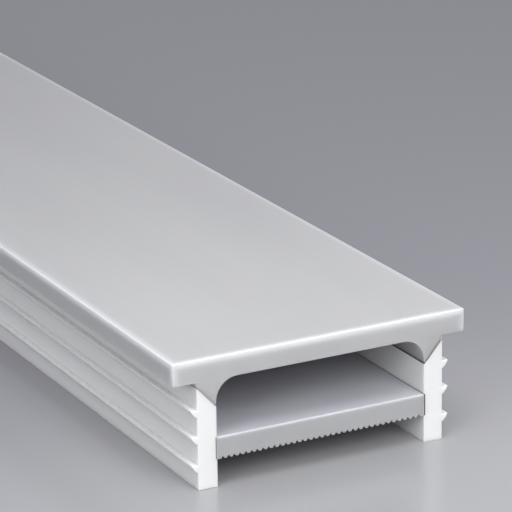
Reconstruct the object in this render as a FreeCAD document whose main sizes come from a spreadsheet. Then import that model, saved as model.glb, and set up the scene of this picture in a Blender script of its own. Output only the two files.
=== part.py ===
"""Recessed silicone channel for a light strip, as one straight length of stock.

Four extrusions share one length: a milky diffuser cover with a flange and two feet, two opaque
side walls with press-in barbs, and the ribbed plate that the light strip lies on.

Frame: X across the section, Y along the length and Z up. The origin is under the middle of the
stock, on the surface that the two walls stand on. Sizes are in millimetres.
"""
import FreeCAD, Part
import os
import Sketcher

SIZES = {
    # whole section
    "stock_length": 1000.0,
    "flange_width": 25.0,
    "profile_height": 10.4,
    "body_width": 21.1,
    # diffuser cover
    "cover_thickness": 1.8,
    "ceiling_radius": 1.8,
    "joint_drop_outside": 0.35,
    "joint_drop_inside": 2.15,
    "foot_blunt": 0.1,
    "foot_straight_least": 0.05,
    # side walls
    "wall_thickness": 1.6,
    "wall_tip_blunt": 0.15,
    "barb_reach": 0.5,
    "barb_height": 0.6,
    "barb_hook": 0.06,
    "barb_nose": 0.08,
    "barb_belly_radius": 1.1,
    "low_barb_lift": 1.43,
    "middle_barb_lift": 3.7,
    "high_barb_lift": 5.83,
    # strip plate, held in a shallow groove in each wall
    "plate_lift": 2.22,
    "plate_thickness": 1.78,
    "groove_depth": 0.1,
    "groove_play": 0.04,
    "plate_end_gap": 0.04,
    # notches between the ribs under the plate
    "notch_count": 36,
    "notch_pitch": 0.484,
    "notch_depth": 0.16,
    "notch_mouth": 0.3,
    "notch_root": 0.14,
}

BARB_LIFTS = ("low_barb_lift", "middle_barb_lift", "high_barb_lift")

# Lines of the section that more than one piece is drawn from, as sheet expressions.
HALF_FLANGE = "Sizes.flange_width / 2"
OUTER_FACE = "Sizes.body_width / 2"
INNER_FACE = f"{OUTER_FACE} - Sizes.wall_thickness"
TOP = "Sizes.profile_height"
CEILING = f"{TOP} - Sizes.cover_thickness"
JOINT_OUTSIDE = f"{CEILING} - Sizes.joint_drop_outside"
JOINT_INSIDE = f"{CEILING} - Sizes.joint_drop_inside"
JOINT_STEEPNESS = "(Sizes.joint_drop_inside - Sizes.joint_drop_outside) / Sizes.wall_thickness"
TOE = f"{JOINT_INSIDE} + Sizes.foot_blunt"
# The ceiling's rounding leaves a short straight stretch of foot above the toe.
CEILING_ARC = f"min(Sizes.ceiling_radius; {CEILING} - ({TOE}) - Sizes.foot_straight_least)"
PLATE_TOP = "Sizes.plate_lift + Sizes.plate_thickness"
GROOVE_FACE = f"{INNER_FACE} + Sizes.groove_depth"


def make_sheet(doc):
    """Write every driving size into a spreadsheet, one named cell each."""
    sheet = doc.addObject("Spreadsheet::Sheet", "Sizes")
    for row, (alias, value) in enumerate(SIZES.items(), start=1):
        sheet.set(f"A{row}", alias)
        sheet.set(f"B{row}", str(value))
        sheet.setAlias(f"B{row}", alias)
    doc.recompute()
    return sheet


def mirrored(x):
    """Return the expression for the same distance on the other side of the middle plane."""
    return f"-({x})"


def add_body(doc, name):
    """Add a body whose label is the name of its piece."""
    body = doc.addObject("PartDesign::Body", name)
    body.Label = name
    return body


def add_section_sketch(body, name):
    """Add a sketch on the body's cross-section plane, the plane of X and Z."""
    sketch = body.newObject("Sketcher::SketchObject", name)
    plane = next(item for item in body.Origin.OriginFeatures if item.Role == "XZ_Plane")
    sketch.AttachmentSupport = (plane, "")
    sketch.MapMode = "FlatFace"
    body.Document.recompute()
    return sketch


def draw_outline(sketch, corners, arcs=None):
    """Draw a closed outline and tie it to the sheet.

    corners holds each corner's (x, z) as sheet expressions, in order round the outline. arcs maps
    the index of a corner to (radius, side) of the arc that leads from it to the next corner, with
    side +1 where the arc bows to the left of the way it is drawn and -1 where it bows to the right.
    """
    arcs = arcs or {}
    spots = [FreeCAD.Vector(*(float(sketch.evalExpression(value)) for value in corner), 0.0)
             for corner in corners]
    joints = []
    for index, start in enumerate(spots):
        end = spots[(index + 1) % len(spots)]
        if index in arcs:
            radius, side = arcs[index]
            edge = add_arc(sketch, start, end, radius, side)
        else:
            edge = sketch.addGeometry(Part.LineSegment(start, end), False)
        first = 1 if sketch.getPoint(edge, 1).distanceToPoint(start) < 1e-6 else 2
        joints.append((edge, first, 3 - first))
    for index, (edge, first, _last) in enumerate(joints):
        before, _first, last = joints[index - 1]
        sketch.addConstraint(Sketcher.Constraint("Coincident", before, last, edge, first))
        for kind, value, place in zip(("DistanceX", "DistanceY"), corners[index], spots[index]):
            tie = Sketcher.Constraint(kind, -1, 1, edge, first, place)
            bind_constraint(sketch, sketch.addConstraint(tie), value)


def add_arc(sketch, start, end, radius, side):
    """Draw an arc between two points, tie its radius to the sheet and return its index."""
    chord = end - start
    size = float(sketch.evalExpression(radius))
    sagitta = size - (size ** 2 - chord.Length ** 2 / 4) ** 0.5
    left = FreeCAD.Vector(-chord.y, chord.x, 0).normalize()
    crown = (start + end) * 0.5 + left * (side * sagitta)
    edge = sketch.addGeometry(Part.Arc(start, crown, end), False)
    bind_constraint(sketch, sketch.addConstraint(Sketcher.Constraint("Radius", edge, size)), radius)
    return edge


def bind_constraint(sketch, index, expression):
    """Bind one constraint's value to a sheet expression."""
    sketch.setExpression(f"Constraints[{index}]", expression)


def extrude(body, sketch):
    """Pad a section to the stock's whole length, half to each side of its plane."""
    pad = body.newObject("PartDesign::Pad", f"{body.Name}_length")
    pad.Profile = sketch
    pad.SideType = "Symmetric"
    pad.setExpression("Length", "Sizes.stock_length")
    body.Document.recompute()
    return pad


def make_cover(doc):
    """Make the diffuser: a flat flange whose two feet sweep down from a rounded ceiling."""
    body = add_body(doc, "diffuser_cover")
    sketch = add_section_sketch(body, "cover_section")
    toe_shift = f"Sizes.foot_blunt / ({JOINT_STEEPNESS})"
    right_half = [
        (HALF_FLANGE, TOP),
        (HALF_FLANGE, CEILING),
        (OUTER_FACE, CEILING),
        (OUTER_FACE, JOINT_OUTSIDE),
        (f"{INNER_FACE} + {toe_shift}", TOE),
        (INNER_FACE, TOE),
        (INNER_FACE, f"{CEILING} - {CEILING_ARC}"),
        (f"{INNER_FACE} - {CEILING_ARC}", CEILING),
    ]
    left_half = [(mirrored(x), z) for x, z in reversed(right_half)]
    rising = len(right_half) - 2
    falling = len(right_half)
    draw_outline(sketch, right_half + left_half,
                 {rising: (CEILING_ARC, -1), falling: (CEILING_ARC, -1)})
    extrude(body, sketch)
    return body


def barb_corners(lift):
    """Return the four corners of the barb whose lower root is at the given lift."""
    root = f"Sizes.{lift}"
    shoulder = f"{root} + Sizes.barb_height"
    nose = f"{OUTER_FACE} + Sizes.barb_reach"
    tip = f"{shoulder} + Sizes.barb_hook"
    return [
        (OUTER_FACE, root),
        (nose, f"{tip} - Sizes.barb_nose"),
        (nose, tip),
        (OUTER_FACE, shoulder),
    ]


def make_wall(doc, name, on_left):
    """Make one side wall: a slanted top under the cover's foot, a groove and three barbs."""
    body = add_body(doc, name)
    sketch = add_section_sketch(body, f"{name}_section")
    tip_shift = f"Sizes.wall_tip_blunt / ({JOINT_STEEPNESS})"
    corners = [(INNER_FACE, "0"), (OUTER_FACE, "0")]
    bellies = []
    for lift in BARB_LIFTS:
        bellies.append(len(corners))
        corners += barb_corners(lift)
    corners += [
        (OUTER_FACE, f"{JOINT_OUTSIDE} - Sizes.wall_tip_blunt"),
        (f"{OUTER_FACE} - {tip_shift}", f"{JOINT_OUTSIDE} - Sizes.wall_tip_blunt"),
        (INNER_FACE, JOINT_INSIDE),
        (INNER_FACE, f"{PLATE_TOP} + Sizes.groove_play"),
        (GROOVE_FACE, f"{PLATE_TOP} + Sizes.groove_play"),
        (GROOVE_FACE, "Sizes.plate_lift"),
        (INNER_FACE, "Sizes.plate_lift"),
    ]
    bow = -1
    if on_left:
        corners = [(mirrored(x), z) for x, z in corners]
        bow = 1
    draw_outline(sketch, corners, {index: ("Sizes.barb_belly_radius", bow) for index in bellies})
    extrude(body, sketch)
    return body


def make_plate(doc):
    """Make the strip plate, with its row of notches underneath."""
    body = add_body(doc, "strip_plate")
    section = add_section_sketch(body, "plate_section")
    half_plate = f"{GROOVE_FACE} - Sizes.plate_end_gap"
    draw_outline(section, [
        (mirrored(half_plate), "Sizes.plate_lift"),
        (half_plate, "Sizes.plate_lift"),
        (half_plate, PLATE_TOP),
        (mirrored(half_plate), PLATE_TOP),
    ])
    slab = extrude(body, section)

    first_notch = "-(Sizes.notch_count - 1) * Sizes.notch_pitch / 2"
    notch = add_section_sketch(body, "notch_section")
    draw_outline(notch, [
        (f"{first_notch} - Sizes.notch_mouth / 2", "Sizes.plate_lift"),
        (f"{first_notch} + Sizes.notch_mouth / 2", "Sizes.plate_lift"),
        (f"{first_notch} + Sizes.notch_root / 2", "Sizes.plate_lift + Sizes.notch_depth"),
        (f"{first_notch} - Sizes.notch_root / 2", "Sizes.plate_lift + Sizes.notch_depth"),
    ])
    cut = body.newObject("PartDesign::Pocket", "notch_cut")
    cut.Profile = notch
    cut.SideType = "Symmetric"
    cut.setExpression("Length", "Sizes.stock_length")
    doc.recompute()

    row = body.newObject("PartDesign::LinearPattern", "notch_row")
    row.Originals = [cut]
    row.Direction = (notch, ["H_Axis"])
    row.Mode = "Spacing"
    row.setExpression("Offset", "Sizes.notch_pitch")
    row.setExpression("Occurrences", "Sizes.notch_count")
    body.Tip = row
    doc.recompute()

    notch_area = Part.Face(notch.Shape.Wires[0]).Area
    removed = slab.Shape.Volume - body.Shape.Volume
    expected = notch_area * SIZES["stock_length"] * SIZES["notch_count"]
    if abs(removed - expected) > expected * 1e-3:
        raise RuntimeError(f"the notches removed {removed:.1f} mm3, not {expected:.1f} mm3")
    return body


def check(doc, bodies):
    """Stop if any object of the document failed or any piece is not one sound solid."""
    for item in doc.Objects:
        if {"Invalid", "Error"} & set(item.State):
            raise RuntimeError(f"{item.Name} is in state {item.State}")
    for body in bodies:
        shape = body.Shape
        if shape.isNull() or not shape.isValid() or len(shape.Solids) != 1:
            raise RuntimeError(f"{body.Label} is not one valid solid")


def main():
    """Build the four pieces and write each to its own STEP file."""
    doc = FreeCAD.newDocument("silicone_channel")
    make_sheet(doc)
    bodies = [
        make_cover(doc),
        make_wall(doc, "side_wall_left", on_left=True),
        make_wall(doc, "side_wall_right", on_left=False),
        make_plate(doc),
    ]
    doc.recompute()
    check(doc, bodies)
    os.makedirs("parts", exist_ok=True)
    for body in bodies:
        body.Shape.exportStep(f"parts/{body.Label}.step")
        print(f"{body.Label}: {body.Shape.Volume:.1f} mm3")


main()
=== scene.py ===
"""Silicone channel for a light strip: the visible pieces, their finishes, a studio and a camera.

Every length is in metres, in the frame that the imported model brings: X across the section,
Y along the stock and Z up, with the origin under the middle of the stock.
"""
import logging
import math
from collections.abc import Callable, Iterator
from contextlib import contextmanager
from dataclasses import dataclass
from enum import Enum

import bmesh
import bpy
from mathutils import Matrix, Vector


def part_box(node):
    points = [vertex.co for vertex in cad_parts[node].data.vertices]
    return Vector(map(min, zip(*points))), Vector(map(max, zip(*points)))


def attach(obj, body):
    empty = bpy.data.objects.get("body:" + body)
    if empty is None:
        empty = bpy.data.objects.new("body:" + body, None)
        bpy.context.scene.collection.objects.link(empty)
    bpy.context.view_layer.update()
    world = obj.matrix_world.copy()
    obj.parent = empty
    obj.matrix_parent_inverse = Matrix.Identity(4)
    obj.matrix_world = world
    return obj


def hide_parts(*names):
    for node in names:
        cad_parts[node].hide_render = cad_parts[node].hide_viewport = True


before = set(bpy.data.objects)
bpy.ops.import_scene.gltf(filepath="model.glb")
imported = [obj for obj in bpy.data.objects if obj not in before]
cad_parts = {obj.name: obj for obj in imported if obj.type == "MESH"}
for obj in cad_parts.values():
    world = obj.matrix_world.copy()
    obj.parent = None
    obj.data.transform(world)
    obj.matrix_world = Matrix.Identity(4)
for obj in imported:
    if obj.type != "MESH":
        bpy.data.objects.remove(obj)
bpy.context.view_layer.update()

MM = 0.001
TOUCH = 0.002 * MM               # places nearer to each other than this are one place
CUT_TOLERANCE = TOUCH / 10       # how near a cut has to pass to a corner to use it
FACING = 0.9                     # the least share of a face's normal along the axis that it faces
FLAT_ANGLE = math.radians(0.5)   # faces that turn less than this lie in one plane
BREAK_ANGLE = math.radians(40)   # edges that turn more than this get a small radius
BREAK_SEGMENTS = 2               # the facets of that radius
SMOOTH_ANGLE = math.radians(50)  # edges that turn less than this are shaded smooth
LOG = logging.getLogger("silicone_channel")


class Side(Enum):
    """The side of the middle plane that a piece stands on, as the sign of its X."""

    LEFT = -1
    RIGHT = 1


class Bench:
    """Edit-mode modelling of one mesh at a time, with faces and edges picked by their place."""

    @staticmethod
    def clear_selection() -> None:
        """Deselect every object."""
        for item in list(bpy.context.selected_objects):
            item.select_set(False)

    @staticmethod
    def block(name: str, low: tuple, high: tuple) -> bpy.types.Object:
        """Add a box primitive between two corners.

        Args:
            name: The new object's name.
            low: Its lowest corner.
            high: Its highest corner.

        Returns:
            The box, its place and size held in its mesh.
        """
        Bench.clear_selection()
        low, high = Vector(low), Vector(high)
        bpy.ops.mesh.primitive_cube_add(size=1, location=(low + high) / 2, scale=high - low)
        item = bpy.context.object
        item.name = item.data.name = name
        bpy.ops.object.transform_apply(location=True, rotation=True, scale=True)
        return item

    @staticmethod
    @contextmanager
    def editing(item: bpy.types.Object) -> Iterator[None]:
        """Hold an object in edit mode.

        Args:
            item: The mesh object to edit.
        """
        Bench.clear_selection()
        item.select_set(True)
        bpy.context.view_layer.objects.active = item
        bpy.ops.object.mode_set(mode="EDIT")
        bpy.ops.mesh.select_mode(type="FACE")
        yield
        bpy.ops.object.mode_set(mode="OBJECT")

    @staticmethod
    def pick_faces(wanted: Callable[[Vector, Vector], bool]) -> None:
        """Select the faces that a test on their centre and normal accepts.

        Args:
            wanted: Takes a face's centre and normal, and says whether to select it.
        """
        bpy.ops.mesh.select_mode(type="FACE")
        bpy.ops.mesh.select_all(action="DESELECT")
        mesh = bpy.context.edit_object.data
        shape = bmesh.from_edit_mesh(mesh)
        for face in shape.faces:
            if wanted(face.calc_center_median(), face.normal):
                face.select_set(True)
        bmesh.update_edit_mesh(mesh)

    @staticmethod
    def pick_edges(wanted: Callable[[Vector, Vector], bool]) -> None:
        """Select the edges that a test on their two ends accepts.

        Args:
            wanted: Takes an edge's two ends, and says whether to select it.
        """
        bpy.ops.mesh.select_mode(type="EDGE")
        bpy.ops.mesh.select_all(action="DESELECT")
        mesh = bpy.context.edit_object.data
        shape = bmesh.from_edit_mesh(mesh)
        for edge in shape.edges:
            if wanted(edge.verts[0].co, edge.verts[1].co):
                edge.select_set(True)
        bmesh.update_edit_mesh(mesh)

    @staticmethod
    def pick_long_edge(x: float, z: float) -> None:
        """Select the edge that runs the length of the stock at one place of the section."""
        Bench.pick_edges(lambda a, b: abs(a.y - b.y) > MM and all(
            abs(end.x - x) < TOUCH and abs(end.z - z) < TOUCH for end in (a, b)))

    @staticmethod
    def cut(point: tuple, normal: tuple, clear: bool = False) -> None:
        """Cut the whole mesh with a plane.

        Args:
            point: A point on the plane.
            normal: The plane's direction.
            clear: Remove what lies in front of the plane, and close the cut.
        """
        bpy.ops.mesh.select_all(action="SELECT")
        bpy.ops.mesh.bisect(plane_co=point, plane_no=Vector(normal).normalized(),
                            use_fill=clear, clear_outer=clear, threshold=CUT_TOLERANCE)

    @staticmethod
    def cut_picked(point: tuple, normal: tuple) -> None:
        """Cut only the selected faces with a plane."""
        bpy.ops.mesh.bisect(plane_co=point, plane_no=Vector(normal).normalized(),
                            threshold=CUT_TOLERANCE)

    @staticmethod
    def merge_flats() -> None:
        """Join the faces that lie in one plane."""
        bpy.ops.mesh.select_all(action="SELECT")
        bpy.ops.mesh.dissolve_limited(angle_limit=FLAT_ANGLE)

    @staticmethod
    def pull(x: float = 0.0, y: float = 0.0, z: float = 0.0) -> None:
        """Extrude the selected faces and move them."""
        bpy.ops.mesh.extrude_region_move(TRANSFORM_OT_translate={"value": (x, y, z)})

    @staticmethod
    def move(x: float = 0.0, y: float = 0.0, z: float = 0.0) -> None:
        """Move what is selected."""
        bpy.ops.transform.translate(value=(x, y, z))

    @staticmethod
    def round_picked(radius: float, segments: int) -> None:
        """Round the selected edges."""
        bpy.ops.mesh.bevel(offset=radius, segments=segments, profile=0.5, affect="EDGES")

    @staticmethod
    def apply_modifier(item: bpy.types.Object, kind: str, **settings: object) -> None:
        """Add one modifier to an object and apply it.

        Args:
            item: The mesh object.
            kind: The modifier's type.
            settings: The modifier's own settings.
        """
        Bench.clear_selection()
        item.select_set(True)
        bpy.context.view_layer.objects.active = item
        modifier = item.modifiers.new(kind.title(), kind)
        for name, value in settings.items():
            setattr(modifier, name, value)
        bpy.ops.object.modifier_apply(modifier=modifier.name)

    @staticmethod
    def finish_edges(item: bpy.types.Object, radius: float) -> None:
        """Break every sharp edge and keep the flats flat under smooth shading.

        Args:
            item: The mesh object.
            radius: The radius that is left on a sharp edge.
        """
        Bench.apply_modifier(item, "BEVEL", width=radius, segments=BREAK_SEGMENTS,
                             limit_method="ANGLE", angle_limit=BREAK_ANGLE,
                             use_clamp_overlap=True)
        bpy.ops.object.shade_smooth_by_angle(angle=SMOOTH_ANGLE)
        Bench.apply_modifier(item, "WEIGHTED_NORMAL", mode="FACE_AREA", weight=100,
                             keep_sharp=True)


class Nodes:
    """Short ways to lay out one material's nodes.

    Attributes:
        NOISE_RANGE: The two values that nearly all of a noise pattern lies between.
    """

    NOISE_RANGE = (0.3, 0.7)

    def __init__(self, name: str) -> None:
        """Start a material that holds only a Principled shader and its output.

        Args:
            name: The material's name.
        """
        self.material = bpy.data.materials.new(name)
        self.material.use_nodes = True
        self.tree = self.material.node_tree
        self.shader = self.tree.nodes["Principled BSDF"]
        self.place = self.tree.nodes.new("ShaderNodeTexCoord").outputs["Object"]

    def add(self, kind: str, **settings: object) -> bpy.types.Node:
        """Add a node and set its own settings.

        Args:
            kind: The node's type, without its ShaderNode prefix.
            settings: The node's own settings.

        Returns:
            The new node.
        """
        node = self.tree.nodes.new(f"ShaderNode{kind}")
        for name, value in settings.items():
            setattr(node, name, value)
        return node

    def link(self, source: bpy.types.NodeSocket, target: bpy.types.NodeSocket) -> None:
        """Join two sockets."""
        self.tree.links.new(source, target)

    def noise(self, scale: tuple, detail: float) -> bpy.types.NodeSocket:
        """Add a noise pattern in object space.

        Args:
            scale: How many times the pattern repeats in a metre, along X, Y and Z.
            detail: How many finer layers it has.

        Returns:
            The pattern's value, around 0.5.
        """
        mapping = self.add("Mapping")
        mapping.inputs["Scale"].default_value = scale
        self.link(self.place, mapping.inputs["Vector"])
        texture = self.add("TexNoise")
        texture.inputs["Scale"].default_value = 1.0
        texture.inputs["Detail"].default_value = detail
        self.link(mapping.outputs["Vector"], texture.inputs["Vector"])
        return texture.outputs["Fac"]

    def ramp(self, value: bpy.types.NodeSocket, source: tuple, result: tuple,
             shape: str = "LINEAR") -> bpy.types.NodeSocket:
        """Map one range of values onto another.

        Args:
            value: The value to map.
            source: The two ends of the range that it moves in.
            result: What those two ends become.
            shape: Blender's name for the curve between them.

        Returns:
            The mapped value, held between the two results.
        """
        node = self.add("MapRange", interpolation_type=shape)
        names = ("From Min", "From Max", "To Min", "To Max")
        for name, number in zip(names, (*source, *result)):
            node.inputs[name].default_value = number
        self.link(value, node.inputs["Value"])
        return node.outputs["Result"]

    def spread(self, value: bpy.types.NodeSocket, low: float, high: float) -> bpy.types.NodeSocket:
        """Map a noise value onto a range.

        Args:
            value: The noise value.
            low: The result where the noise is weak.
            high: The result where the noise is strong.

        Returns:
            The mapped value.
        """
        return self.ramp(value, self.NOISE_RANGE, (low, high))

    def mix_colours(self, share: bpy.types.NodeSocket, first: object,
                    second: tuple) -> bpy.types.NodeSocket:
        """Blend two colours.

        Args:
            share: How much of the second colour shows.
            first: The first colour, as a socket or as linear red, green and blue.
            second: The second colour, linear.

        Returns:
            The blended colour.
        """
        node = self.add("Mix", data_type="RGBA", clamp_factor=True)
        sockets = {socket.identifier: socket for socket in node.inputs}
        if isinstance(first, bpy.types.NodeSocket):
            self.link(first, sockets["A_Color"])
        else:
            sockets["A_Color"].default_value = (*first, 1.0)
        sockets["B_Color"].default_value = (*second, 1.0)
        self.link(share, sockets["Factor_Float"])
        return next(out for out in node.outputs if out.identifier == "Result_Color")

    def math(self, operation: str, first: object, second: object) -> bpy.types.NodeSocket:
        """Add one sum on two values.

        Args:
            operation: The sum's type.
            first: A socket or a number.
            second: A socket or a number.

        Returns:
            The result.
        """
        node = self.add("Math", operation=operation)
        for value, socket in zip((first, second), node.inputs):
            if isinstance(value, bpy.types.NodeSocket):
                self.link(value, socket)
            else:
                socket.default_value = value
        return node.outputs["Value"]

    def edge_distances(self, corner: tuple) -> tuple:
        """Measure how far a place on a box's skin is from the edges of its upper half.

        Args:
            corner: The box's upper corner, its sides standing symmetrically in X and Y.

        Returns:
            The distance from the nearest edge, upright ones included, and from the top's rim.
        """
        split = self.add("SeparateXYZ")
        self.link(self.place, split.inputs["Vector"])
        across = self.math("SUBTRACT", corner[0], self.math("ABSOLUTE", split.outputs["X"], 0.0))
        along = self.math("SUBTRACT", corner[1], self.math("ABSOLUTE", split.outputs["Y"], 0.0))
        down = self.math("SUBTRACT", corner[2], split.outputs["Z"])
        nearer = self.math("MINIMUM", across, along)
        farther = self.math("MAXIMUM", across, along)
        return (self.math("MAXIMUM", nearer, self.math("MINIMUM", farther, down)),
                self.math("MAXIMUM", nearer, down))

    def fade(self, distance: bpy.types.NodeSocket, full: float,
             none: float) -> bpy.types.NodeSocket:
        """Turn a distance into a share that falls from one to nothing.

        Args:
            distance: The distance.
            full: Up to here the share is one.
            none: From here on it is nothing.

        Returns:
            The share.
        """
        return self.ramp(distance, (full, none), (1.0, 0.0), "SMOOTHERSTEP")

    def bump(self, height: bpy.types.NodeSocket, strength: float, depth: float) -> None:
        """Drive the shader's normal from a height.

        Args:
            height: The height's pattern.
            strength: How strongly it shows.
            depth: The height of a full step, in metres.
        """
        node = self.add("Bump")
        node.inputs["Strength"].default_value = strength
        node.inputs["Distance"].default_value = depth
        self.link(height, node.inputs["Height"])
        self.link(node.outputs["Normal"], self.shader.inputs["Normal"])


@dataclass(frozen=True)
class PaintedEdgeGlow:
    """Painted light on a translucent body's upper edges: a painted highlight line and a painted
    glow band.

    Attributes:
        corner: The upper corner of the box whose edges glow.
        line_colour: The colour of the thin painted highlight line on the edge itself.
        line_share: How much of that colour shows.
        line_width: The line's reach to each side of the edge, in metres.
        halo_colour: The colour of the soft painted glow band beside it.
        halo_share: How much of that colour shows.
        halo_width: The band's reach, in metres.
    """

    corner: tuple
    line_colour: tuple = (0.95, 0.95, 0.95)
    line_share: float = 0.42
    line_width: float = 0.065 * MM
    halo_colour: tuple = (0.85, 0.85, 0.87)
    halo_share: float = 0.26
    halo_width: float = 0.8 * MM

    def lay_over(self, nodes: Nodes, colour: bpy.types.NodeSocket) -> bpy.types.NodeSocket:
        """Blend the painted highlight and glow over a colour.

        Args:
            nodes: The material's nodes.
            colour: The body's colour.

        Returns:
            The colour with the painted highlight and glow.
        """
        to_edge, to_rim = nodes.edge_distances(self.corner)
        halo = nodes.math("MULTIPLY", nodes.fade(to_edge, 0.0, self.halo_width), self.halo_share)
        line = nodes.fade(to_rim, self.line_width / 2, self.line_width)
        colour = nodes.mix_colours(halo, colour, self.halo_colour)
        return nodes.mix_colours(nodes.math("MULTIPLY", line, self.line_share), colour,
                                 self.line_colour)


@dataclass(frozen=True)
class Silicone:
    """Extruded silicone: soft, satin, faintly drawn along its length and cloudy inside.

    Attributes:
        name: The material's name.
        body: The main colour, linear.
        cloud: The colour of the milkier patches.
        roughness: The satin surface's roughness.
        depth: How far light spreads under the skin, in metres.
        scatter: The share of light that spreads that way.
        spread_ratio: How far red, green and blue spread, as shares of the depth.
        painted_glow: The glow along the edges, if it has one.
        painted_top_light: A paler, bluer colour painted on the top face as painted light, where
            one is given.
        top_height: The height of that face.
        top_fade: How far below that face its colour is still full, and where it has gone.
        cloud_scale: How many clouds there are in a metre, along X, Y and Z.
        cloud_detail: How many finer layers they have.
        streak_scale: How many drawn streaks there are in a metre, along X, Y and Z.
        streak_detail: How many finer layers they have.
        streak_change: How much smoother and how much rougher they make the surface.
        grain_scale: How many grains there are in a metre, along X, Y and Z.
        grain_detail: How many finer layers they have.
        grain_strength: How strongly they show.
        grain_depth: Their depth, in metres.
        ior: The refraction of silicone rubber.
    """

    name: str
    body: tuple
    cloud: tuple
    roughness: float
    depth: float
    scatter: float
    spread_ratio: tuple = (1.0, 1.0, 1.0)
    # painted_glow: The painted highlight and glow along the edges, if it has one.
    painted_glow: PaintedEdgeGlow | None = None
    painted_top_light: tuple | None = None
    top_height: float = 0.0
    top_fade: tuple = (0.01 * MM, 0.05 * MM)
    cloud_scale: tuple = (160.0, 25.0, 160.0)
    cloud_detail: float = 3.0
    streak_scale: tuple = (4200.0, 9.0, 4200.0)
    streak_detail: float = 2.0
    streak_change: tuple = (-0.02, 0.03)
    grain_scale: tuple = (5200.0, 40.0, 5200.0)
    grain_detail: float = 2.0
    grain_strength: float = 0.04
    grain_depth: float = 0.01 * MM
    ior: float = 1.41

    def build(self) -> bpy.types.Material:
        """Lay out the material's nodes.

        Returns:
            The material.
        """
        nodes = Nodes(self.name)
        shader = nodes.shader.inputs
        clouds = nodes.noise(self.cloud_scale, self.cloud_detail)
        colour = nodes.mix_colours(nodes.spread(clouds, 0.0, 1.0), self.body, self.cloud)
        # Painted light: the top face is painted paler and bluer, standing in for the light that
        # falls on it.
        if self.painted_top_light:
            split = nodes.add("SeparateXYZ")
            nodes.link(nodes.place, split.inputs["Vector"])
            below = nodes.math("SUBTRACT", self.top_height, split.outputs["Z"])
            colour = nodes.mix_colours(nodes.fade(below, *self.top_fade), colour,
                                       self.painted_top_light)
        # Painted light: pale colour on the edges stands in for their highlight and for light
        # leaking out through them.
        if self.painted_glow:
            colour = self.painted_glow.lay_over(nodes, colour)
        nodes.link(colour, shader["Base Color"])
        streaks = nodes.noise(self.streak_scale, self.streak_detail)
        smoothest, roughest = (self.roughness + change for change in self.streak_change)
        nodes.link(nodes.spread(streaks, smoothest, roughest), shader["Roughness"])
        grain = nodes.noise(self.grain_scale, self.grain_detail)
        nodes.bump(grain, self.grain_strength, self.grain_depth)
        shader["IOR"].default_value = self.ior
        shader["Subsurface Weight"].default_value = self.scatter
        shader["Subsurface Radius"].default_value = self.spread_ratio
        shader["Subsurface Scale"].default_value = self.depth
        return nodes.material


NO_GLOW_REACH = 1.0  # a glow box this wide has no edge near the plate's two sides

# The cover's upper edges get a painted highlight line and a painted glow band.
MILKY = Silicone("milky_silicone", body=(0.415, 0.416, 0.417), cloud=(0.443, 0.444, 0.442),
                 roughness=0.32, depth=2.4 * MM, scatter=1.0, spread_ratio=(0.93, 0.95, 1.0),
                 painted_glow=PaintedEdgeGlow(tuple(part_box("diffuser_cover")[1])))
WHITE = Silicone("white_silicone", body=(0.725, 0.728, 0.723), cloud=(0.755, 0.757, 0.751),
                 roughness=0.42, depth=0.6 * MM, scatter=0.9)
# The plate's paler, bluer top and the glow on its end edges are painted light.
GREY = Silicone("plate_silicone", body=(0.38, 0.382, 0.388), cloud=(0.405, 0.407, 0.412),
                roughness=0.36, depth=0.8 * MM, scatter=1.0, painted_top_light=(0.47, 0.474, 0.512),
                top_height=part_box("strip_plate")[1].z,
                painted_glow=PaintedEdgeGlow((NO_GLOW_REACH, *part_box("strip_plate")[1][1:]),
                              line_share=0.05, line_width=0.1 * MM,
                              halo_share=0.1, halo_width=0.4 * MM))


@dataclass(frozen=True)
class PaintedSeamShade:
    """Painted shade: a dull dark colour on the joint faces, standing in for the shadow in the seam
    between cover and wall and in the plate's grooves.

    Attributes:
        name: The material's name.
        colour: The main colour of the painted shade, linear.
        patch_colour: The colour of its paler patches.
        roughness: Its roughness.
        patch_scale: How many patches there are in a metre, along X, Y and Z.
        patch_detail: How many finer layers they have.
        patch_strength: How strongly they stand out.
        patch_depth: How far they stand out, in metres.
    """

    name: str = "painted_seam_shade"
    colour: tuple = (0.07, 0.068, 0.09)
    patch_colour: tuple = (0.11, 0.108, 0.135)
    roughness: float = 0.7
    patch_scale: tuple = (900.0, 60.0, 900.0)
    patch_detail: float = 2.0
    patch_strength: float = 0.1
    patch_depth: float = 0.01 * MM

    def build(self) -> bpy.types.Material:
        """Lay out the material's nodes.

        Returns:
            The material.
        """
        nodes = Nodes(self.name)
        patches = nodes.spread(nodes.noise(self.patch_scale, self.patch_detail), 0.0, 1.0)
        nodes.link(nodes.mix_colours(patches, self.colour, self.patch_colour),
                   nodes.shader.inputs["Base Color"])
        nodes.bump(patches, self.patch_strength, self.patch_depth)
        nodes.shader.inputs["Roughness"].default_value = self.roughness
        return nodes.material


def dress(piece: bpy.types.Object, material: bpy.types.Material, node: str,
          seam_shade: bpy.types.Material | None = None,
          in_painted_seam: Callable[[Vector, Vector], bool] | None = None) -> None:
    """Give a piece its material and set it in the frame.

    Args:
        piece: The finished piece.
        material: Its material.
        node: The CAD node that it stands for.
        seam_shade: The painted shade material of its joint faces, if it has any.
        in_painted_seam: Takes a face's centre and normal, and says whether it gets the painted
            seam shade.
    """
    piece.data.materials.clear()
    piece.data.materials.append(material)
    # Painted shade: the joint faces get a dark material standing in for the shadow in the seams.
    if seam_shade:
        piece.data.materials.append(seam_shade)
        for face in piece.data.polygons:
            face.material_index = int(in_painted_seam(face.center, face.normal))
    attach(piece, "root")
    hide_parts(node)


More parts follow.
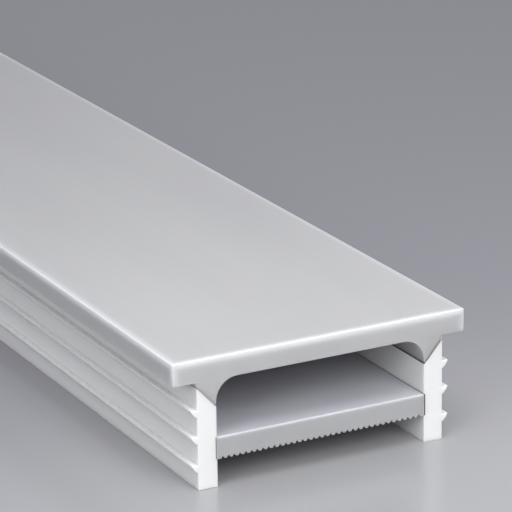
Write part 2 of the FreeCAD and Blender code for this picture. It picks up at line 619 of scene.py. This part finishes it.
@dataclass
class Section:
    """The lines of the section that the pieces share, read from the frame where it holds them."""

    half_length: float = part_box("diffuser_cover")[1].y
    half_flange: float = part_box("diffuser_cover")[1].x
    top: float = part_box("diffuser_cover")[1].z
    toe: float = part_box("diffuser_cover")[0].z
    wall_tip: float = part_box("side_wall_right")[1].z
    inner_face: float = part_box("side_wall_right")[0].x
    barb_nose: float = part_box("side_wall_right")[1].x
    half_plate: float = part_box("strip_plate")[1].x
    plate_lift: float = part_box("strip_plate")[0].z
    plate_top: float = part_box("strip_plate")[1].z
    wall_thickness: float = 1.6 * MM
    cover_thickness: float = 1.8 * MM
    joint_drop_outside: float = 0.35 * MM
    joint_drop_inside: float = 2.15 * MM

    @property
    def outer_face(self) -> float:
        """The wall's plain outer face."""
        return self.inner_face + self.wall_thickness

    @property
    def ceiling(self) -> float:
        """The flat underside of the cover."""
        return self.top - self.cover_thickness

    @property
    def joint_outside(self) -> float:
        """The height of the slanted joint at the outer face."""
        return self.ceiling - self.joint_drop_outside

    @property
    def joint_inside(self) -> float:
        """The height of the slanted joint at the inner face."""
        return self.ceiling - self.joint_drop_inside


@dataclass
class DiffuserCover:
    """The milky cover: a flange whose two feet sweep down from a rounded ceiling."""

    section: Section
    ceiling_radius: float = 1.8 * MM
    ceiling_segments: int = 18
    toe_trim: float = 0.04 * MM
    rim_radius: float = 0.08 * MM
    rim_segments: int = 5
    edge_radius: float = 0.03 * MM

    def build(self) -> bpy.types.Object:
        """Model the cover from one slab.

        Returns:
            The cover.
        """
        lines = self.section
        item = Bench.block("milky_cover", (-lines.half_flange, -lines.half_length, lines.ceiling),
                           (lines.half_flange, lines.half_length, lines.top))
        with Bench.editing(item):
            for side in Side:
                for line in (lines.inner_face, lines.outer_face):
                    Bench.cut((side.value * line, 0, 0), (1, 0, 0))
            for side in Side:
                self.drop_foot(side)
            Bench.cut((0, 0, lines.toe + self.toe_trim), (0, 0, -1), clear=True)
            Bench.merge_flats()
            for side in Side:
                Bench.pick_long_edge(side.value * lines.inner_face, lines.ceiling)
                Bench.round_picked(self.ceiling_radius, self.ceiling_segments)
            Bench.pick_edges(self.on_rim)
            Bench.round_picked(self.rim_radius, self.rim_segments)
        Bench.finish_edges(item, self.edge_radius)
        return item

    def drop_foot(self, side: Side) -> None:
        """Pull one foot down from the slab and slant its sole.

        Args:
            side: The foot's side.
        """
        lines = self.section
        Bench.pick_faces(lambda centre, normal: normal.z < -FACING
                         and lines.inner_face < side.value * centre.x < lines.outer_face)
        Bench.pull(z=-lines.joint_drop_outside)
        Bench.pick_long_edge(side.value * lines.inner_face, lines.joint_outside)
        Bench.move(z=lines.joint_inside - lines.joint_outside)

    def on_rim(self, start: Vector, end: Vector) -> bool:
        """Say whether an edge lies on the flange's rim.

        Args:
            start: One end of the edge.
            end: Its other end.

        Returns:
            Whether it is an outer edge of the top face or an upright corner of the flange.
        """
        lines = self.section
        at_side = all(abs(abs(p.x) - lines.half_flange) < TOUCH for p in (start, end))
        at_end = all(abs(abs(p.y) - lines.half_length) < TOUCH for p in (start, end))
        on_top = all(abs(p.z - lines.top) < TOUCH for p in (start, end))
        return (on_top and (at_side or at_end)) or (at_side and at_end)


@dataclass
class SideWall:
    """One opaque wall: a slanted top under the cover's foot, a groove and three barbs."""

    section: Section
    side: Side
    groove_depth: float = 0.1 * MM
    barb_roots: tuple = (1.43 * MM, 3.7 * MM, 5.83 * MM)
    barb_height: float = 0.6 * MM
    barb_hook: float = 0.06 * MM
    barb_nose_height: float = 0.08 * MM
    belly_radius: float = 1.1 * MM
    belly_steps: int = 8
    edge_radius: float = 0.012 * MM
    slant_range: tuple = (0.6, 0.8)
    # how far above the inner joint the painted seam shade starts
    seam_shade_margin: float = 0.1 * MM

    def build(self) -> bpy.types.Object:
        """Model the wall from one upright block.

        Returns:
            The wall.
        """
        lines, sign = self.section, self.side.value
        groove_face = lines.inner_face + self.groove_depth
        reach = sorted((sign * groove_face, sign * lines.outer_face))
        item = Bench.block(f"barbed_wall_{self.side.name.lower()}",
                           (reach[0], -lines.half_length, 0),
                           (reach[1], lines.half_length, lines.wall_tip))
        slope = Vector((lines.joint_inside - lines.joint_outside, 0, lines.wall_thickness))
        with Bench.editing(item):
            for level in (lines.plate_lift, lines.plate_top):
                Bench.cut((0, 0, level), (0, 0, 1))
            Bench.pick_faces(lambda centre, normal: normal.x * sign < -FACING
                             and not lines.plate_lift < centre.z < lines.plate_top)
            Bench.pull(x=-sign * self.groove_depth)
            Bench.merge_flats()
            for root in self.barb_roots:
                self.raise_barb(root)
            Bench.cut((sign * lines.inner_face, 0, lines.joint_inside),
                      (sign * slope.x, 0, slope.z), clear=True)
            Bench.merge_flats()
        Bench.finish_edges(item, self.edge_radius)
        return item

    def in_painted_seam(self, centre: Vector, normal: Vector) -> bool:
        """Say whether a face of the wall, where it meets the cover or the plate, gets the painted
        seam shade.

        Args:
            centre: The face's centre.
            normal: The face's normal.

        Returns:
            Whether it is the slanted top or the groove's face.
        """
        flattest, steepest = self.slant_range
        slanted = (flattest < normal.z < steepest
                   and centre.z > self.section.joint_inside + self.seam_shade_margin)
        grooved = abs(abs(centre.x) - self.section.inner_face - self.groove_depth) < TOUCH
        return slanted or grooved

    def belly(self) -> list[tuple[float, float]]:
        """Work out the convex underside of a barb.

        Returns:
            The steps out and up that follow the arc from the wall to the barb's nose.
        """
        out = self.section.barb_nose - self.section.outer_face
        rise = self.barb_height + self.barb_hook - self.barb_nose_height
        chord = math.hypot(out, rise)
        half_turn = math.asin(chord / 2 / self.belly_radius)
        first = math.atan2(rise, out) - half_turn
        spots = []
        for step in range(self.belly_steps + 1):
            heading = first + 2 * half_turn * step / self.belly_steps
            spots.append((self.belly_radius * (math.sin(heading) - math.sin(first)),
                          self.belly_radius * (math.cos(first) - math.cos(heading))))
        return [(b[0] - a[0], b[1] - a[1]) for a, b in zip(spots, spots[1:])]

    def raise_barb(self, root: float) -> None:
        """Pull one barb out of the wall in steps that follow its belly.

        Args:
            root: The height of the barb's lower root.
        """
        sign = self.side.value
        face, low, high = self.section.outer_face, root, root + self.barb_height
        total = self.section.barb_nose - self.section.outer_face
        for level in (low, high):
            Bench.pick_faces(lambda centre, normal: normal.x * sign > FACING
                             and abs(centre.x - sign * face) < TOUCH)
            Bench.cut_picked((0, 0, level), (0, 0, 1))
        for out, up in self.belly():
            middle = (low + high) / 2
            Bench.pick_faces(lambda centre, normal: normal.x * sign > FACING
                             and abs(centre.x - sign * face) < TOUCH
                             and abs(centre.z - middle) < TOUCH)
            Bench.pull(x=sign * out)
            face += out
            Bench.pick_long_edge(sign * face, low)
            Bench.move(z=up)
            low += up
            lift = self.barb_hook * out / total
            Bench.pick_long_edge(sign * face, high)
            Bench.move(z=lift)
            high += lift


@dataclass
class StripPlate:
    """The plate that the light strip lies on: flat above, finely ribbed below."""

    section: Section
    notch_count: int = 36
    notch_pitch: float = 0.484 * MM
    notch_depth: float = 0.16 * MM
    notch_mouth: float = 0.3 * MM
    notch_root: float = 0.1 * MM
    flank_steps: int = 4
    lip_radius: float = 0.08 * MM
    lip_segments: int = 4
    end_gaps: tuple = (0.01 * MM, 0.03 * MM)
    edge_radius: float = 0.01 * MM

    def build(self) -> bpy.types.Object:
        """Model one pitch of the plate, repeat it and close both sides with a plain land.

        Returns:
            The plate.
        """
        lines = self.section
        first = -(self.notch_count - 1) * self.notch_pitch / 2
        half = self.notch_pitch / 2
        item = Bench.block("ribbed_plate", (first - half, -lines.half_length, lines.plate_lift),
                           (first + half, lines.half_length, lines.plate_top))
        with Bench.editing(item):
            for offset, _rise in self.flank():
                for sign in (-1, 1):
                    Bench.cut((first + sign * offset, 0, 0), (1, 0, 0))
            for offset, rise in self.flank():
                for sign in (-1, 1):
                    Bench.pick_long_edge(first + sign * offset, lines.plate_lift)
                    Bench.move(z=rise)
            Bench.pick_faces(lambda centre, normal: abs(normal.x) > FACING
                             and abs(abs(centre.x - first) - half) < TOUCH)
            bpy.ops.mesh.delete(type="FACE")
        Bench.apply_modifier(item, "ARRAY", count=self.notch_count, use_relative_offset=False,
                             use_constant_offset=True, use_merge_vertices=True,
                             constant_offset_displace=(self.notch_pitch, 0, 0),
                             merge_threshold=TOUCH)
        edge = -first + half
        with Bench.editing(item):
            for side, gap in zip(Side, self.end_gaps):
                Bench.pick_edges(lambda a, b: all(
                    abs(p.x - side.value * edge) < TOUCH for p in (a, b)))
                bpy.ops.mesh.extrude_edges_move(TRANSFORM_OT_translate={
                    "value": (side.value * (lines.half_plate - gap - edge), 0, 0)})
                bpy.ops.mesh.edge_face_add()
            bpy.ops.mesh.select_all(action="SELECT")
            bpy.ops.mesh.normals_make_consistent(inside=False)
            Bench.merge_flats()
            Bench.pick_edges(lambda a, b: all(
                abs(p.z - lines.plate_top) < TOUCH and abs(abs(p.y) - lines.half_length) < TOUCH
                for p in (a, b)))
            Bench.round_picked(self.lip_radius, self.lip_segments)
        Bench.finish_edges(item, self.edge_radius)
        return item

    def flank(self) -> list[tuple[float, float]]:
        """Work out one flank of a notch, rounded at its root and at the ribs' tips.

        Returns:
            The distance from the notch's middle and the height above the ribs' tips, for each
            edge of the flank.
        """
        width = (self.notch_mouth - self.notch_root) / 2
        spots = []
        for step in range(self.flank_steps + 1):
            share = step / self.flank_steps
            spots.append((self.notch_root / 2 + share * width,
                          self.notch_depth * (1 + math.cos(math.pi * share)) / 2))
        return spots


@dataclass(frozen=True)
class SoftLamp:
    """A square soft lamp with a grid, which neither the camera nor a reflection shows.

    Attributes:
        name: The lamp's name.
        place: Where it hangs.
        target: The point that it faces.
        size: The length of its side.
        power: Its power in watts.
        spread: The angle into which its grid lets the light out, in degrees.
    """

    name: str
    place: tuple
    target: tuple
    size: float
    power: float
    spread: float = 80.0

    def hang(self) -> None:
        """Add the lamp to the scene."""
        Bench.clear_selection()
        bpy.ops.object.light_add(type="AREA", location=self.place)
        lamp = bpy.context.object
        lamp.name = self.name
        lamp.data.size = self.size
        lamp.data.energy = self.power
        lamp.data.spread = math.radians(self.spread)
        aim = Vector(self.target) - Vector(self.place)
        lamp.rotation_euler = aim.to_track_quat("-Z", "Y").to_euler()
        lamp.visible_camera = False
        lamp.visible_glossy = False


@dataclass
class Studio:
    """The floor, three soft lamps and a grey sky that gives most of the light."""

    floor_half_size: float = 20.0
    floor_drop: float = 0.004 * MM
    floor_far: tuple = (0.262, 0.263, 0.284)
    # painted light: the floor's colour where a pool of light is painted in front of the near end
    painted_pool_colour: tuple = (0.345, 0.346, 0.353)
    pool_centre: tuple = (0.0, -0.53, 0.0)
    pool_radius: float = 0.075
    pool_core_share: float = 0.25
    floor_roughness: float = 0.22
    world_colour: tuple = (0.93, 0.935, 1.0)
    horizon_level: float = 0.25
    zenith_level: float = 0.70
    crown_level: float = 0.15
    rise_to_zenith: tuple = (0.1, 0.6)
    rise_to_crown: tuple = (0.5, 0.95)
    lamps: tuple = (
        SoftLamp("front", (0.0, -0.84, 0.22), (0.0, -0.5, 0.005), 0.3, 0.31),
        SoftLamp("near_top", (-0.01, -0.53, 0.11), (0.0, -0.505, 0.0), 0.06, 0.0125),
        SoftLamp("left", (-0.38, -0.72, 0.17), (0.0, -0.5, 0.005), 0.2, 0.13),
    )

    def build(self) -> None:
        """Make everything round the object."""
        self.floor()
        self.surroundings()
        for lamp in self.lamps:
            lamp.hang()

    def floor(self) -> None:
        """Lay a large, softly glossy floor, painted paler in front of the near end as a pool of
        painted light.
        """
        Bench.clear_selection()
        bpy.ops.mesh.primitive_plane_add(size=2 * self.floor_half_size,
                                         location=(0, 0, -self.floor_drop))
        plane = bpy.context.object
        plane.name = "floor"
        nodes = Nodes("studio_floor")
        distance = nodes.add("VectorMath", operation="DISTANCE")
        distance.inputs[1].default_value = self.pool_centre
        nodes.link(nodes.place, distance.inputs[0])
        # Painted light: paler floor colour around the near end stands in for a pool of light
        # falling there.
        painted_pool = nodes.fade(distance.outputs["Value"], self.pool_core_share * self.pool_radius,
                          self.pool_radius)
        nodes.link(nodes.mix_colours(painted_pool, self.floor_far, self.painted_pool_colour),
                   nodes.shader.inputs["Base Color"])
        nodes.shader.inputs["Roughness"].default_value = self.floor_roughness
        plane.data.materials.append(nodes.material)

    def surroundings(self) -> None:
        """Set a grey sky that is dim at the horizon, brighter above it and brightest overhead."""
        world = bpy.data.worlds.new("studio")
        world.use_nodes = True
        tree = world.node_tree
        background = tree.nodes["Background"]
        background.inputs["Color"].default_value = (*self.world_colour, 1.0)
        split = tree.nodes.new("ShaderNodeSeparateXYZ")
        tree.links.new(tree.nodes.new("ShaderNodeTexCoord").outputs["Generated"],
                       split.inputs["Vector"])
        total = tree.nodes.new("ShaderNodeMath")
        bands = ((*self.rise_to_zenith, self.horizon_level, self.zenith_level),
                 (*self.rise_to_crown, 0.0, self.crown_level))
        for band, share in zip(bands, total.inputs):
            ramp = tree.nodes.new("ShaderNodeMapRange")
            ramp.interpolation_type = "SMOOTHSTEP"
            for value, name in zip(band, ("From Min", "From Max", "To Min", "To Max")):
                ramp.inputs[name].default_value = value
            tree.links.new(split.outputs["Z"], ramp.inputs["Value"])
            tree.links.new(ramp.outputs["Result"], share)
        tree.links.new(total.outputs["Value"], background.inputs["Strength"])
        bpy.context.scene.world = world


@dataclass
class EndView:
    """The camera: close on the near end, from its left and a little above."""

    near_end: float
    azimuth: float = -27.356
    elevation: float = 18.445
    roll: float = -0.869
    lens: float = 209.41
    distance: float = 231.37 * MM
    aim_beyond_end: float = 10.53 * MM
    aim_height: float = 13.69 * MM

    def build(self) -> bpy.types.Object:
        """Make the scene's camera.

        Returns:
            The camera.
        """
        turn, rise, roll = (math.radians(x) for x in (self.azimuth, self.elevation, self.roll))
        back = Vector((math.sin(turn) * math.cos(rise), -math.cos(turn) * math.cos(rise),
                       math.sin(rise)))
        right = Vector((math.cos(turn), math.sin(turn), 0))
        up = back.cross(right)
        tilted_right = right * math.cos(roll) + up * math.sin(roll)
        tilted_up = up * math.cos(roll) - right * math.sin(roll)
        aim = Vector((0, self.near_end + self.aim_beyond_end, self.aim_height))
        axes = Matrix((tilted_right, tilted_up, back)).transposed().to_4x4()
        Bench.clear_selection()
        bpy.ops.object.camera_add()
        camera = bpy.context.object
        camera.name = "end_view"
        camera.matrix_world = Matrix.Translation(aim + back * self.distance) @ axes
        camera.data.lens = self.lens
        camera.data.clip_start = 1 * MM
        bpy.context.scene.camera = camera
        return camera


def report(piece: bpy.types.Object) -> None:
    """Log a finished piece with its number of faces."""
    LOG.info("%s: %d faces", piece.name, len(piece.data.polygons))


def main() -> None:
    """Build the camera, the four pieces and the studio."""
    logging.basicConfig(level=logging.INFO, format="%(message)s")
    bpy.context.scene.view_settings.view_transform = "Standard"
    section = Section()
    EndView(near_end=-section.half_length).build()
    white = WHITE.build()
    seam_shade = PaintedSeamShade().build()
    cover = DiffuserCover(section).build()
    dress(cover, MILKY.build(), "diffuser_cover")
    report(cover)
    for side in Side:
        maker = SideWall(section, side)
        wall = maker.build()
        dress(wall, white, f"side_wall_{side.name.lower()}", seam_shade,
              maker.in_painted_seam)
        report(wall)
    plate = StripPlate(section).build()
    dress(plate, GREY.build(), "strip_plate")
    report(plate)
    Studio().build()


if __name__ == "__main__":
    main()
